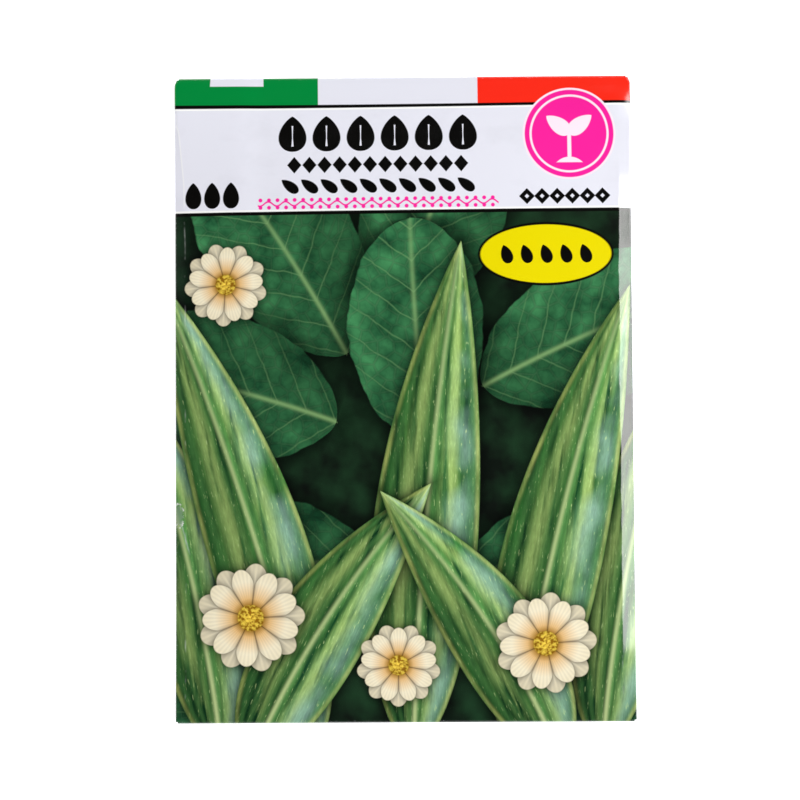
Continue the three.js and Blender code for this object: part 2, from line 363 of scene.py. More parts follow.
class Field:
    """A number that varies over a surface, held as the output of a shader node."""

    def __init__(self, tree, socket):
        self.tree = tree
        self.socket = socket

    def math(self, operation, *others):
        node = self.tree.nodes.new("ShaderNodeMath")
        node.operation = operation
        for socket, value in zip(node.inputs, (self, *others)):
            feed(self.tree, socket, value)
        return Field(self.tree, node.outputs[0])

    def __add__(self, other):
        return self.math("ADD", other)

    def __mul__(self, other):
        return self.math("MULTIPLY", other)

    def __sub__(self, other):
        return self.math("SUBTRACT", other)

    def __truediv__(self, other):
        return self.math("DIVIDE", other)

    def __pow__(self, other):
        return self.math("POWER", other)

    def __rsub__(self, other):
        return (self * -1) + other

    def __abs__(self):
        return self.math("ABSOLUTE")

    __radd__ = __add__
    __rmul__ = __mul__

    def least(self, other):
        return self.math("MINIMUM", other)

    def most(self, other):
        return self.math("MAXIMUM", other)

    def clamped(self):
        node = self.tree.nodes.new("ShaderNodeClamp")
        feed(self.tree, node.inputs[0], self)
        return Field(self.tree, node.outputs[0])

    def cosine(self):
        return self.math("COSINE")

    def sine(self):
        return self.math("SINE")

    def fraction(self):
        return self.math("FRACT")

    def bump(self, spread):
        """1 where the number is 0, falling smoothly to 0 about two spreads away."""
        return (self / spread).math("POWER", 2.0).math("MULTIPLY", -1.0).math("EXPONENT")

    def inside(self, blur):
        """Over 1 where a distance into a shape is positive, under 0 outside: a mix clamps its share."""
        return self.math("MULTIPLY_ADD", 1 / blur, 0.5)


def feed(tree, socket, value):
    """Links a node's output to a socket, or sets the socket to a plain value."""
    if isinstance(value, Field):
        tree.links.new(value.socket, socket)
    elif isinstance(value, bpy.types.NodeSocket):
        tree.links.new(value, socket)
    else:
        socket.default_value = value


class Drawing:
    """Draws in a node tree, on the flat sheet, in millimetres."""

    def __init__(self, tree):
        self.tree = tree

    def add(self, kind, inputs=(), **settings):
        node = self.tree.nodes.new(kind)
        for name, value in settings.items():
            setattr(node, name, value)
        for key, value in dict(inputs).items():
            feed(self.tree, node.inputs[key], value)
        return node

    def map(self, name):
        """The place on the flat sheet, or on the print."""
        return self.add("ShaderNodeUVMap", uv_map=name).outputs[0]

    def moved(self, place, base, turn):
        """The place as seen from a base point, with a turn about it."""
        inputs = {"Vector": place, "Location": base, "Rotation": turn}
        return self.add("ShaderNodeMapping", inputs, vector_type="TEXTURE").outputs[0]

    def stretched(self, place, across, along, shift=0.0):
        """The place with its two parts multiplied, as noise in streaks needs it."""
        inputs = {"Vector": place, "Scale": (across, along, 1.0), "Location": (shift, shift, 0.0)}
        return self.add("ShaderNodeMapping", inputs).outputs[0]

    def parts(self, place):
        """The place's two parts, across and along."""
        found = []
        for axis in ((1.0, 0.0, 0.0), (0.0, 1.0, 0.0)):
            node = self.add("ShaderNodeVectorMath", {0: place, 1: axis}, operation="DOT_PRODUCT")
            found.append(Field(self.tree, node.outputs["Value"]))
        return found

    def noise(self, place, scale, detail=2.0, rough=0.5, flat=True):
        made = self.add("ShaderNodeTexNoise", {"Vector": place, "Scale": scale, "Detail": detail,
                                               "Roughness": rough})
        made.noise_dimensions = "2D" if flat else "3D"
        return Field(self.tree, made.outputs[0])

    def net(self, place, scale):
        """Distance to the nearest line of an irregular net, as a share of its mesh."""
        made = self.add("ShaderNodeTexVoronoi", {"Vector": place, "Scale": scale},
                        voronoi_dimensions="2D", feature="DISTANCE_TO_EDGE")
        return Field(self.tree, made.outputs["Distance"])

    def mix(self, under, over, share):
        """Lays one colour over another, where share is 1."""
        made = self.add("ShaderNodeMix", {0: share, 6: shade(under), 7: shade(over)}, data_type="RGBA")
        return made.outputs[2]

    def inked(self, under, tint, depth, edge=INK_EDGE):
        """Prints a shape in a colour over another. The depth is the distance into the shape."""
        return self.mix(under, tint, depth.inside(edge))

    def dim(self, under, factor):
        """Multiplies a colour by a number, which may be above 1."""
        made = self.add("ShaderNodeMix", {0: factor, 6: (0.0, 0.0, 0.0, 1.0), 7: shade(under)},
                        data_type="RGBA", clamp_factor=False)
        return made.outputs[2]

    def group(self, group, *values):
        """Places a group with its inputs in order, and returns its first output."""
        node = self.add("ShaderNodeGroup", node_tree=group)
        for socket, value in zip(node.inputs, values):
            if socket.type == "RGBA" and is_plain(value):
                value = shade(value)
            feed(self.tree, socket, value)
        return node.outputs[0]


def is_plain(value):
    return not isinstance(value, (Field, bpy.types.NodeSocket))


def shade(value):
    """A plain colour with its alpha, or an output as it is."""
    return (*value, 1.0)[:4] if is_plain(value) else value


def motif(name, places, numbers, draw):
    """A node group that paints one motif over the colour it is given."""
    tree = bpy.data.node_groups.new(name, "ShaderNodeTree")
    kinds = {"Under": "NodeSocketColor"}
    kinds.update((label, "NodeSocketVector") for label in places)
    kinds.update((label, "NodeSocketFloat") for label in numbers)
    for label, kind in kinds.items():
        tree.interface.new_socket(label, in_out="INPUT", socket_type=kind)
    tree.interface.new_socket("Painted", in_out="OUTPUT", socket_type="NodeSocketColor")
    taken = tree.nodes.new("NodeGroupInput").outputs
    fields = [Field(tree, taken[label]) for label in numbers]
    painted = draw(Drawing(tree), taken["Under"], *(taken[label] for label in places), *fields)
    feed(tree, tree.nodes.new("NodeGroupOutput").inputs[0], painted)
    return tree


# Motifs of the picture

def leaf_frame(pen, place, base, turn, reach, half, bend, rise, fall):
    """A leaf's own place, the parts along and aside of its curved rib, and the distance into it."""
    peak = (rise / (rise + fall)) ** rise * (fall / (rise + fall)) ** fall
    own = pen.moved(place, base, turn)
    along, straight = pen.parts(own)
    share = (along / reach).clamped()
    aside = straight - bend * share * share * reach
    width = half * (share ** rise) * ((1 - share) ** fall) * (1 / peak)
    depth = (width - abs(aside)).least(along + 0.1).least(reach - along)
    return own, along, share, aside, width, depth


def draw_ribbed_leaf(pen, under, place, base, turn, reach, half, bend):
    own, _, share, aside, width, depth = leaf_frame(
        pen, place, base, turn, reach, half, bend, rise=0.6, fall=0.95)
    across = aside / width.most(0.3)
    streak = pen.noise(pen.stretched(own, 0.06, 0.6), 1.0, 3.0)
    mottle = pen.noise(own, 0.1, 2.0)
    ribs = (across * 23.0 + streak * 3.0).cosine() * 0.5 + 0.5
    body = pen.mix(linear(16, 66, 34), linear(62, 132, 60), (streak * 2.2 - 0.6).clamped())
    body = pen.mix(body, linear(104, 168, 92), ribs * 0.4)
    pale = (abs(across) - 0.4).bump(0.17) * (streak * 4.0 - 1.2).clamped()
    body = pen.mix(body, linear(176, 208, 122), pale * 0.85)
    margin = (depth - 0.4).bump(0.4) * (mottle * 1.7 - 0.3)
    body = pen.mix(body, linear(190, 206, 116), margin)
    sheen = (across + 0.62).bump(0.24) * (mottle * 2.6 - 0.8).clamped()
    body = pen.mix(body, linear(176, 220, 204), sheen * 0.6)
    fine = pen.noise(pen.stretched(own, 0.45, 2.6), 1.0, 2.0, 0.7)
    body = pen.mix(body, linear(196, 220, 150), (fine * 9.0 - 5.9).clamped() * 0.55)
    far_half = (aside * 1.4 + 0.5).clamped()
    shading = 1.12 - far_half * 0.38 - abs(across) * 0.16
    body = pen.dim(body, shading * (fine * 0.7 + 0.65))
    body = pen.mix(body, linear(206, 226, 158), aside.bump(0.42) * (1 - share * 0.7))
    body = pen.dim(body, share * 0.35 + 0.72)
    shadow = (1 + depth / 3.2).clamped()
    ground = pen.dim(under, 1 - shadow * shadow * 0.72)
    return pen.inked(ground, body, depth, edge=0.16)


def draw_broad_leaf(pen, under, place, base, turn, reach, half, bend):
    own, along, share, aside, _, depth = leaf_frame(
        pen, place, base, turn, reach, half, bend, rise=0.6, fall=0.55)
    ripple = (pen.noise(own, 0.22, 2.0) - 0.5) * 3.2
    depth = depth + ripple * 0.45
    mottle = pen.noise(own, 0.16, 4.0, 0.6)
    rows = ((along - abs(aside) * 0.85 + ripple * 0.35) / 5.4).fraction()
    from_vein = abs(rows - 0.5)
    vein = (from_vein * 14.0 - 6.3).clamped()
    body = pen.mix(linear(24, 74, 46), linear(64, 134, 84), (mottle * 2.2 - 0.6).clamped())
    body = pen.dim(body, 1.15 - from_vein * 0.75)
    mesh = pen.net(own, 0.42)
    body = pen.mix(body, linear(96, 158, 108), (0.75 - mesh * 9.0).clamped() * (mottle * 1.4 - 0.25))
    body = pen.dim(body, (mesh * 2.2 + 0.7).least(1.08))
    body = pen.mix(body, linear(128, 182, 120), vein * (0.62 - abs(aside) / half * 0.4).clamped())
    body = pen.mix(body, linear(150, 196, 128), aside.bump(0.42) * (1 - share * 0.7))
    body = pen.dim(body, (aside / half * 0.28 + 0.92) * (0.66 + share * 0.4))
    shadow = (1 + depth / 4.5).clamped()
    ground = pen.dim(under, 1 - shadow * 0.75)
    return pen.inked(ground, body, depth, edge=0.3)


def draw_daisy(pen, under, place, middle, turn, radius):
    own = pen.moved(place, middle, turn)
    from_x, from_y = pen.parts(own)
    far = (from_x * from_x + from_y * from_y) ** 0.5
    around = from_y.math("ARCTAN2", from_x)
    share = far / radius
    painted = under
    for petals, reach, start, dimmer in ((9, 1.0, 0.0, 0.84), (9, 0.9, 0.5, 1.0)):
        ray = (around * (petals / (2 * pi)) + start).fraction() - 0.5
        aside = abs(ray)
        edge = reach - aside * aside * 1.25
        depth = (edge - share) * radius
        split = 1 - (aside * 2.0) ** 6.0 * 0.75
        lines = (ray * 46.0).cosine() * 0.05 + 0.97
        body = pen.mix(linear(226, 168, 70), linear(250, 240, 212), (share * 2.3 - 0.55).clamped())
        body = pen.mix(body, linear(232, 222, 190), (share * 2.0 - 1.2).clamped())
        body = pen.dim(body, split * lines * dimmer)
        shadow = (1 + depth / (radius * 0.28)).clamped()
        painted = pen.dim(painted, 1 - shadow * shadow * 0.6)
        painted = pen.inked(painted, body, depth, edge=0.2)
    grains = pen.noise(own, 1.7, 1.0)
    eye = pen.mix(linear(150, 104, 22), linear(246, 212, 78), (grains * 3.2 - 1.1).clamped())
    eye = pen.dim(eye, 1.15 - share * 1.6)
    painted = pen.dim(painted, 1 - ((0.36 - share) * 8.0).clamped() * 0.5)
    return pen.inked(painted, eye, (0.24 - share) * radius, edge=0.2)


# Each leaf of the picture: base across and along, angle in degrees, reach, half width, bend
BROAD_LEAVES = (
    (-2, 14, 68, 44, 13, 0.05), (-10, 8, 118, 44, 13, 0.08), (14, 2, 28, 48, 13, -0.1),
    (-12, -4, 160, 44, 13, 0.1), (10, -30, -4, 48, 14, 0.06), (-6, -28, 186, 50, 14, -0.08),
    (-22, -42, 232, 36, 12, 0.0), (22, -40, -50, 36, 12, 0.06), (4, -8, 96, 40, 12, -0.04),
)
RIBBED_LEAVES = (
    (-33, -62, 96, 68, 8.2, 0.13), (34.4, -62, 85, 72, 8.4, -0.14), (-17, -62, 102, 88, 9.0, 0.1),
    (19, -62, 81, 84, 9.0, -0.1), (1, -62, 88, 90, 9.4, -0.07), (-28, -64, 66, 58, 8.6, -0.17),
    (27, -64, 112, 56, 8.4, 0.2),
)
# Each flower of the picture: middle across and along, turn in degrees, radius
DAISIES = ((-27.5, -38.5, 23, 9.6), (24.5, -43.5, 63, 9.0), (-1.5, -47, 9, 7.4), (-31.5, 20.5, 46, 7.4))
LEAF_SHADE = 5.5
FLOWER_SHADE = 0.3

# The picture is drawn in cells, each with only the motifs that reach it
CELL_COLUMNS = 2
CELL_ROWS = 3


def cell_box(column, row, form):
    """A cell's low and high corner, with the two outer ones open-ended past the folds."""
    width = 2 * form.half_width / CELL_COLUMNS
    height = (LOWER_RULE + form.half_length) / CELL_ROWS
    left = column * width - form.half_width
    foot = row * height - form.half_length
    low = (left - form.side_tab * (column == 0), foot - form.bottom_flap * (row == 0))
    high = (left + width * (1 + (column == CELL_COLUMNS - 1)), foot + height)
    return low, high


def cell_at(place, form):
    """The number of the cell that a place on the sheet lies in."""
    column = (place.x + form.half_width) / (2 * form.half_width) * CELL_COLUMNS
    row = (place.y + form.half_length) / (LOWER_RULE + form.half_length) * CELL_ROWS
    column = min(max(int(column), 0), CELL_COLUMNS - 1)
    return column + CELL_COLUMNS * min(max(int(row), 0), CELL_ROWS - 1)


def reaches(marks, margin, low, high):
    """Whether a motif along some marks comes within a margin of a cell."""
    return all(min(mark[axis] for mark in marks) - margin < high[axis]
               and max(mark[axis] for mark in marks) + margin > low[axis] for axis in (0, 1))


def leaf_reaches(low, high, x, y, turn, reach, half, bend):
    marks = []
    for share in (0.0, 0.5, 1.0):
        along, aside = share * reach, bend * share * share * reach
        from_x, from_y = turned(along, aside, -radians(turn))
        marks.append((x + from_x, y + from_y))
    return reaches(marks, half + LEAF_SHADE, low, high)


def flower_reaches(low, high, x, y, turn, radius):
    return reaches([(x, y)], radius * (1 + FLOWER_SHADE), low, high)


def picture_groups():
    """The motifs' node groups, each with its rows and the test for reaching a cell."""
    leaf_numbers = ("Reach", "Half width", "Bend")
    broad = motif("Broad leaf", ("Place", "Base", "Turn"), leaf_numbers, draw_broad_leaf)
    ribbed = motif("Ribbed leaf", ("Place", "Base", "Turn"), leaf_numbers, draw_ribbed_leaf)
    daisy = motif("Daisy", ("Place", "Middle", "Turn"), ("Radius",), draw_daisy)
    return ((broad, BROAD_LEAVES, leaf_reaches), (ribbed, RIBBED_LEAVES, leaf_reaches),
            (daisy, DAISIES, flower_reaches))


def draw_picture(pen, place, groups, low, high):
    """Upright ribbed leaves with daisies on a bed of broad leaves."""
    gloom = pen.noise(place, 0.11, 3.0)
    painted = pen.mix(linear(12, 20, 14), linear(30, 62, 38), (gloom * 2.4 - 0.8).clamped())
    for group, rows, reaches_cell in groups:
        for x, y, turn, *numbers in rows:
            if reaches_cell(low, high, x, y, turn, *numbers):
                painted = pen.group(
                    group, painted, place, (x, y, 0.0), (0.0, 0.0, radians(turn)), *numbers)
    return painted


# Ornaments of the header and the badges: distances into plain shapes

def box(x, y, left, right, low, high):
    return (x - left).least(right - x).least((y - low).least(high - y))


def disc(x, y, middle_x, middle_y, radius):
    from_x, from_y = x - middle_x, y - middle_y
    return radius - (from_x * from_x + from_y * from_y) ** 0.5


def oval(x, y, middle_x, middle_y, half_x, half_y):
    far_x, far_y = (x - middle_x) / half_x, (y - middle_y) / half_y
    return (1 - (far_x * far_x + far_y * far_y) ** 0.5) * half_y


def seed_shape(x, y, half_x, half_y):
    """A pointed seed standing on its round end, about 0, 0."""
    share = (y / half_y * 0.5 + 0.5).clamped()
    width = (share ** 0.5) * ((1 - share) ** 0.8) * (half_x / 0.404)
    return (width - abs(x)).least(half_y - abs(y))


def repeated(x, left, right, pitch):
    """Places from the middle of the nearest of a row of ornaments, and the distance into the row."""
    cell = ((x - left) / pitch).fraction() * pitch - pitch / 2
    return cell, (x - left).least(right - x)


def turned(x, y, angle):
    return x * cos(angle) + y * sin(angle), y * cos(angle) - x * sin(angle)


# How far a leaflet, or the leaf of a sprout, leans
LEAF_LEAN = radians(52)


def sprout_shape(x, y, half_stem, foot, top, leaf):
    """A sprout about 0, 0: an upright stem and two leaves, given by the right one's place and size."""
    middle_x, middle_y, half_x, half_y = leaf
    stem = (half_stem - abs(x)).least(y - foot).least(top - y)
    leaf_x, leaf_y = turned(abs(x) - middle_x, y - middle_y, -LEAF_LEAN)
    return stem.most(seed_shape(leaf_x, leaf_y, half_x, half_y))


def draw_band(pen, ink, x, y, painted):
    """The three-coloured band and its black rule, with the blank stamp box in the green."""
    in_band = (y - UPPER_RULE).inside(0.1)
    colours = pen.inked(ink.green, ink.paper, x - BAND_WHITE, RULE_EDGE)
    colours = pen.inked(colours, ink.red, x - BAND_RED, RULE_EDGE)
    stamp = (x - STAMP_LEFT).least(STAMP_RIGHT - x).least(y - STAMP_FOOT)
    colours = pen.inked(colours, ink.paper, stamp, RULE_EDGE)
    painted = pen.mix(painted, colours, in_band)
    half_thick = (UPPER_RULE_THICK - x * UPPER_RULE_TAPER) / 2
    rule = half_thick - abs(y - UPPER_RULE)
    halo = (rule + HALO).least(UPPER_RULE - y)
    painted = pen.inked(painted, ink.halo, halo, RULE_EDGE)
    return pen.inked(painted, ink.black, rule, RULE_EDGE)


# Each row of ornaments in the header: its left end, right end and pitch, and the line of its middles
BIG_SEED_ROW, BIG_SEED_LINE = (-22.4, 14.1, 6.08), 47.45
LOZENGE_ROW, LOZENGE_LINE = (-20.4, 12.0, 2.7), 41.75
LEAFLET_ROW, LEAFLET_LINE = (-21.6, 13.2, 3.48), 37.95
BUD_ROW, VINE_LINE = (-25.9, 17.2, 1.53), 34.8
SMALL_SEED_ROW, SMALL_SEED_LINE = (-38.9, -28.7, 3.4), 36.45
HOLLOW_ROW, HOLLOW_LINE = (20.9, 37.1, 2.7), 35.6
SLIT_LINE = 47.1
VINE_START = -25.6


def draw_header(pen, ink, x, y, painted):
    """Rows of printer's ornaments: seeds, lozenges, leaflets, a fine vine and hollow lozenges."""
    row_x, in_row = repeated(x, *BIG_SEED_ROW)
    big_seed = seed_shape(row_x, y - BIG_SEED_LINE, half_x=2.4, half_y=3.25)
    slit = (0.28 - abs(row_x)).least(2.0 - abs(y - SLIT_LINE)).most(0.0)
    painted = pen.inked(painted, ink.black, (big_seed - slit * 12).least(in_row))
    row_x, in_row = repeated(x, *LOZENGE_ROW)
    lozenge = (1.28 - abs(row_x) - abs(y - LOZENGE_LINE) * 0.84).least(in_row)
    painted = pen.inked(painted, ink.black, lozenge)
    row_x, in_row = repeated(x, *LEAFLET_ROW)
    lean_x, lean_y = turned(row_x, y - LEAFLET_LINE, LEAF_LEAN)
    leaflet = seed_shape(lean_x, lean_y, half_x=0.88, half_y=1.85).least(in_row)
    painted = pen.inked(painted, ink.black, leaflet)
    _, vine_end, half_wave = BUD_ROW
    in_row = (x - VINE_START).least(vine_end - x)
    vine = 0.17 - abs(y - VINE_LINE - (x * (pi / half_wave)).sine() * 0.4)
    row_x, _ = repeated(x, *BUD_ROW)
    bud = 0.35 - (row_x * row_x + (abs(y - VINE_LINE) - 0.66) ** 2.0) ** 0.5
    painted = pen.inked(painted, ink.pink, vine.most(bud).least(in_row))
    row_x, in_row = repeated(x, *SMALL_SEED_ROW)
    small_seed = seed_shape(row_x, y - SMALL_SEED_LINE, half_x=1.4, half_y=2.35).least(in_row)
    painted = pen.inked(painted, ink.black, small_seed)
    row_x, in_row = repeated(x, *HOLLOW_ROW)
    hollow = (1.42 - abs(row_x) - abs(y - HOLLOW_LINE) * 0.98).least(in_row)
    hollow = hollow.least(abs(row_x) + abs(y - HOLLOW_LINE) - 0.4)
    return pen.inked(painted, ink.black, hollow)


def draw_round_badge(pen, ink, x, y, painted):
    """A pink disc with a pale rim, a fine pale ring and a sprout on a mound."""
    middle_x, middle_y, radius = 30.0, 46.9, 8.3
    rim, ring, half_line = 0.36, 1.42, 0.19
    white = linear(255, 236, 250)
    into = disc(x, y, middle_x, middle_y, radius)
    painted = pen.inked(painted, white, into)
    painted = pen.inked(painted, ink.pink, into - rim)
    painted = pen.inked(painted, white, half_line - abs(into - ring))
    near_x, near_y = x - middle_x, y - middle_y
    sprout = sprout_shape(near_x, near_y, half_stem=0.34, foot=-4.4, top=1.2, leaf=(1.95, 1.65, 1.35, 2.6))
    mound = (near_y + 5.2).least(disc(near_x, near_y, 0.0, -7.4, 3.2))
    return pen.inked(painted, white, sprout.most(mound))


def draw_oval_badge(pen, ink, x, y, painted):
    """A yellow oval with a black rim and a row of leaning seeds."""
    middle_x, middle_y = 25.5, 25.3
    half_x, half_y, rim = 12.1, 5.65, 0.46
    half_row, pitch = 8.8, 3.52
    for tint, inset in ((ink.black, 0.0), (ink.yellow, rim)):
        into = oval(x, y, middle_x, middle_y, half_x - inset, half_y - inset)
        painted = pen.inked(painted, tint, into)
    row_x, in_row = repeated(x, middle_x - half_row, middle_x + half_row, pitch)
    lean_x, lean_y = turned(row_x, y - middle_y, radians(18))
    kernel = seed_shape(lean_x, lean_y, half_x=1.0, half_y=1.7).least(in_row)
    return pen.inked(painted, ink.black, kernel)


# Finishes

def new_material(name, roughness=0.5):
    """A material with its drawing and its shader, whose plain numbers are set on the shader."""
    material = bpy.data.materials.new(name)
    material.use_nodes = True
    pen = Drawing(material.node_tree)
    shader = material.node_tree.nodes["Principled BSDF"]
    shader.inputs["Roughness"].default_value = roughness
    return material, pen, shader


def set_plain(shader, **values):
    for name, value in values.items():
        shader.inputs[name.replace("_", " ")].default_value = value


def set_relief(pen, shader, height, strength, depth):
    """Fine relief on a surface, so many millimetres deep."""
    bump = pen.add("ShaderNodeBump", {"Strength": strength, "Distance": depth * MM, "Height": height})
    feed(pen.tree, shader.inputs["Normal"], bump.outputs[0])


def print_finish(pen, shader, painted, place):
    """The gloss of coated, varnished paper: fine fibre, faint waviness and rubbed spots."""
    fibre = pen.noise(place, 3.1, 3.0, 0.6)
    swell = pen.noise(pen.stretched(place, 0.21, 0.12), 1.0, 2.0)
    set_relief(pen, shader, fibre * 0.25 + swell * 1.6, strength=0.16, depth=0.1)
    rub = pen.noise(pen.stretched(place, 1.0, 1.0, 40.0), 0.3, 5.0, 0.65)
    feed(pen.tree, shader.inputs["Base Color"], painted)
    feed(pen.tree, shader.inputs["Roughness"], rub * 0.12 + 0.12)
    set_plain(shader, IOR=1.6, Specular_IOR_Level=0.62)


# The scuff low on the left: its middle and half sizes, and the leaning kink line by it
SCUFF = (-40.1, -20.6, 0.85, 2.1)
KINK_X, KINK_Y, KINK_LEAN = -39.5, -22.8, 0.275
KINK_LOW, KINK_HIGH = -27.2, -22.2
# The part of a shoulder's crease that lies in the header's white, where it is rubbed most and gets the
# strongest painted highlight
CREASE_LIGHT_LOW, CREASE_LIGHT_HIGH = 33.8, 49.5


def worn_and_crease_light(pen, ink, painted, place, form):
    """Bare paper where the ink has cracked along the folds, the scuff low on the left, and a painted
    highlight with rubbed paper along the shoulders' creases.
    """
    x, y = pen.parts(place)
    from_fold = abs(abs(x) - form.half_width)
    from_end = abs(abs(y) - form.half_length)
    near = from_fold.least(from_end)
    grain = pen.noise(place, 1.3, 4.0, 0.7)
    cracks = ((0.16 - near) * 2.5 + (grain - 0.68) * 3.0).clamped()
    painted = pen.mix(painted, ink.paper, cracks * 0.28)
    scuff = oval(x, y, *SCUFF) + (grain - 0.55) * 3.0
    painted = pen.mix(painted, linear(128, 148, 130), scuff.inside(0.9).clamped() * 0.6)
    flecks = (scuff - 0.15).bump(0.3) * (grain * 8.0 - 3.9).clamped()
    painted = pen.mix(painted, linear(238, 242, 238), flecks * 0.85)
    kink = (x - KINK_X + (y - KINK_Y) * KINK_LEAN + (grain - 0.5) * 0.3).bump(0.13)
    line = kink * (y - KINK_LOW).least(KINK_HIGH - y).inside(1.2).clamped()
    painted = pen.mix(painted, linear(176, 198, 182), line * 0.55)
    # Along the shoulders' creases: paper rubbed bare in spots, and a painted highlight that is strongest
    # in the header's white
    crease = Field(pen.tree, pen.add("ShaderNodeAttribute", attribute_name="Crease").outputs["Fac"])
    spots = pen.noise(pen.stretched(place, 0.3, 1.0, 7.0), 0.16, 3.0, 0.6)
    in_header = (y - CREASE_LIGHT_LOW).least(CREASE_LIGHT_HIGH - y).clamped()
    rubbed_and_highlit = (spots * 5.0 - 2.7).clamped() * 0.3 + in_header * 0.6
    return pen.mix(painted, ink.halo, rubbed_and_highlit * crease)


def printed(name, form, ink, draw):
    """A part of the printed side."""
    material, pen, shader = new_material(name)
    place = pen.map("Print")
    painted = draw(pen, place, *pen.parts(place))
    sheet = pen.map("Sheet")
    painted = worn_and_crease_light(pen, ink, painted, sheet, form)
    print_finish(pen, shader, painted, sheet)
    return material


def picture_material(form, ink, groups, column, row):
    low, high = cell_box(column, row, form)

    def draw(pen, place, x, y):
        painted = draw_picture(pen, place, groups, low, high)
        if row == CELL_ROWS - 1:
            painted = draw_oval_badge(pen, ink, x, y, painted)
            rule = y - LOWER_RULE + LOWER_RULE_THICK / 2
            painted = pen.inked(painted, ink.black, rule, RULE_EDGE)
        if row == 0:
            past_bleed = -(form.half_length + BLEED) - y
            painted = pen.inked(painted, ink.paper, past_bleed, RULE_EDGE)
        return painted
    return printed(f"Printed picture {column} {row}", form, ink, draw)


def header_material(form, ink):
    def draw(pen, place, x, y):
        # Faint grey patches over the bare paper
        grey_patches = pen.noise(pen.stretched(place, 0.1, 0.16), 1.0, 4.0, 0.6)
        ground = pen.dim(ink.paper, 1.02 - (grey_patches * 4.0 - 2.0).clamped() * 0.05)
        rule = LOWER_RULE + LOWER_RULE_THICK / 2 - y
        painted = pen.inked(ground, ink.halo, rule + HALO, RULE_EDGE)
        painted = pen.inked(painted, ink.black, rule, RULE_EDGE)
        painted = draw_header(pen, ink, x, y, painted)
        painted = draw_band(pen, ink, x, y, painted)
        return draw_round_badge(pen, ink, x, y, painted)
    return printed("Printed header", form, ink, draw)


# The back's print: the sides of the frame and of the block of ruled lines, and the sprout's middle
BACK_FRAME = (-34.5, 36.5, -41.5, 38.5)
NOTES = (-29.5, 31.5, -35.0, 10.0)
NOTE_PITCH, NOTE_START = 6.4, -34.0
BACK_SPROUT_X, BACK_SPROUT_Y = 1.0, 23.0


def back_material(form, ink):
    """The back: a green frame, ruled lines for notes and a sprout."""
    def draw(pen, place, x, y):
        across = form.side_end + form.half_width - x
        into = box(across, y, *BACK_FRAME)
        painted = pen.inked(ink.paper, ink.green, 0.3 - abs(into), RULE_EDGE)
        row = ((y - NOTE_START) / NOTE_PITCH).fraction() * NOTE_PITCH - NOTE_PITCH / 2
        ruled = (0.11 - abs(row)).least(box(across, y, *NOTES))
        painted = pen.inked(painted, linear(120, 132, 124), ruled, RULE_EDGE)
        near_x, near_y = across - BACK_SPROUT_X, y - BACK_SPROUT_Y
        sprout = sprout_shape(near_x, near_y, half_stem=0.4, foot=-7.5, top=2.0, leaf=(3.2, 2.7, 2.2, 4.3))
        return pen.inked(painted, ink.green, sprout)
    return printed("Printed back", form, ink, draw)


def inside_material(ink):
    """The uncoated side and the cut edges: soft white with visible fibre."""
    material, pen, shader = new_material("Uncoated paper", 0.85)
    place = pen.map("Sheet")
    fibre = pen.noise(pen.stretched(place, 0.6, 1.0), 2.4, 5.0, 0.7)
    cloud = pen.noise(place, 0.25, 2.0)
    tint = pen.mix(ink.inside, linear(246, 245, 240), (fibre * 1.6 - 0.3).clamped())
    tint = pen.dim(tint, cloud * 0.1 + 0.94)
    feed(pen.tree, shader.inputs["Base Color"], tint)
    set_relief(pen, shader, fibre, strength=0.4, depth=0.08)
    set_plain(shader, Specular_IOR_Level=0.25)
    return material


def object_place(pen, scale):
    place = pen.add("ShaderNodeTexCoord").outputs["Object"]
    return pen.add("ShaderNodeMapping", {"Vector": place, "Scale": (scale,) * 3}).outputs[0]


def glue_material():
    """Dried paste: a thin, slightly glossy film with bubbles and thin places."""
    material, pen, shader = new_material("Dried glue", 0.35)
    place = object_place(pen, 1000)
    cloud = pen.noise(place, 0.5, 3.0, flat=False)
    beads = pen.noise(place, 2.6, 2.0, flat=False)
    tint = pen.mix(linear(214, 196, 150), linear(240, 232, 208), cloud)
    feed(pen.tree, shader.inputs["Base Color"], pen.dim(tint, beads * 0.2 + 0.88))
    feed(pen.tree, shader.inputs["Roughness"], beads * 0.35 + 0.2)
    set_relief(pen, shader, beads, strength=0.5, depth=0.05)
    return material


def seed_material():
    """Dry seed coat: cream to buff, papery, with fine streaks and a darker blush."""
    material, pen, shader = new_material("Seed coat", 0.55)
    place = object_place(pen, 1000)
    blush = pen.noise(place, 0.16, 3.0, flat=False)
    streak = pen.noise(place, 1.3, 4.0, 0.65, flat=False)
    tint = pen.mix(linear(206, 182, 132), linear(240, 228, 194), (blush * 1.8 - 0.4).clamped())
    feed(pen.tree, shader.inputs["Base Color"], pen.dim(tint, streak * 0.24 + 0.86))
    feed(pen.tree, shader.inputs["Roughness"], streak * 0.25 + 0.42)
    set_relief(pen, shader, streak, strength=0.5, depth=0.06)
    set_plain(shader, Sheen_Weight=0.15)
    return material


# Pieces

def add_object(name, mesh):
    made = bpy.data.objects.new(name, mesh)
    bpy.context.scene.collection.objects.link(made)
    return made


def finished_mesh(name, bm):
    mesh = bpy.data.meshes.new(name)
    bm.to_mesh(mesh)
    bm.free()
    return mesh


def add_panel(bm, across, along, columns, rows):
    """A flat grid between two places across and two along the sheet."""
    size_x, size_y = across[1] - across[0], along[1] - along[0]
    made = bmesh.ops.create_grid(bm, x_segments=columns, y_segments=rows, size=0.5)["verts"]
    bmesh.ops.scale(bm, verts=made, vec=(size_x, size_y, 1.0))
    middle = (across[0] + size_x / 2, along[0] + size_y / 2, 0.0)
    bmesh.ops.translate(bm, verts=made, vec=middle)


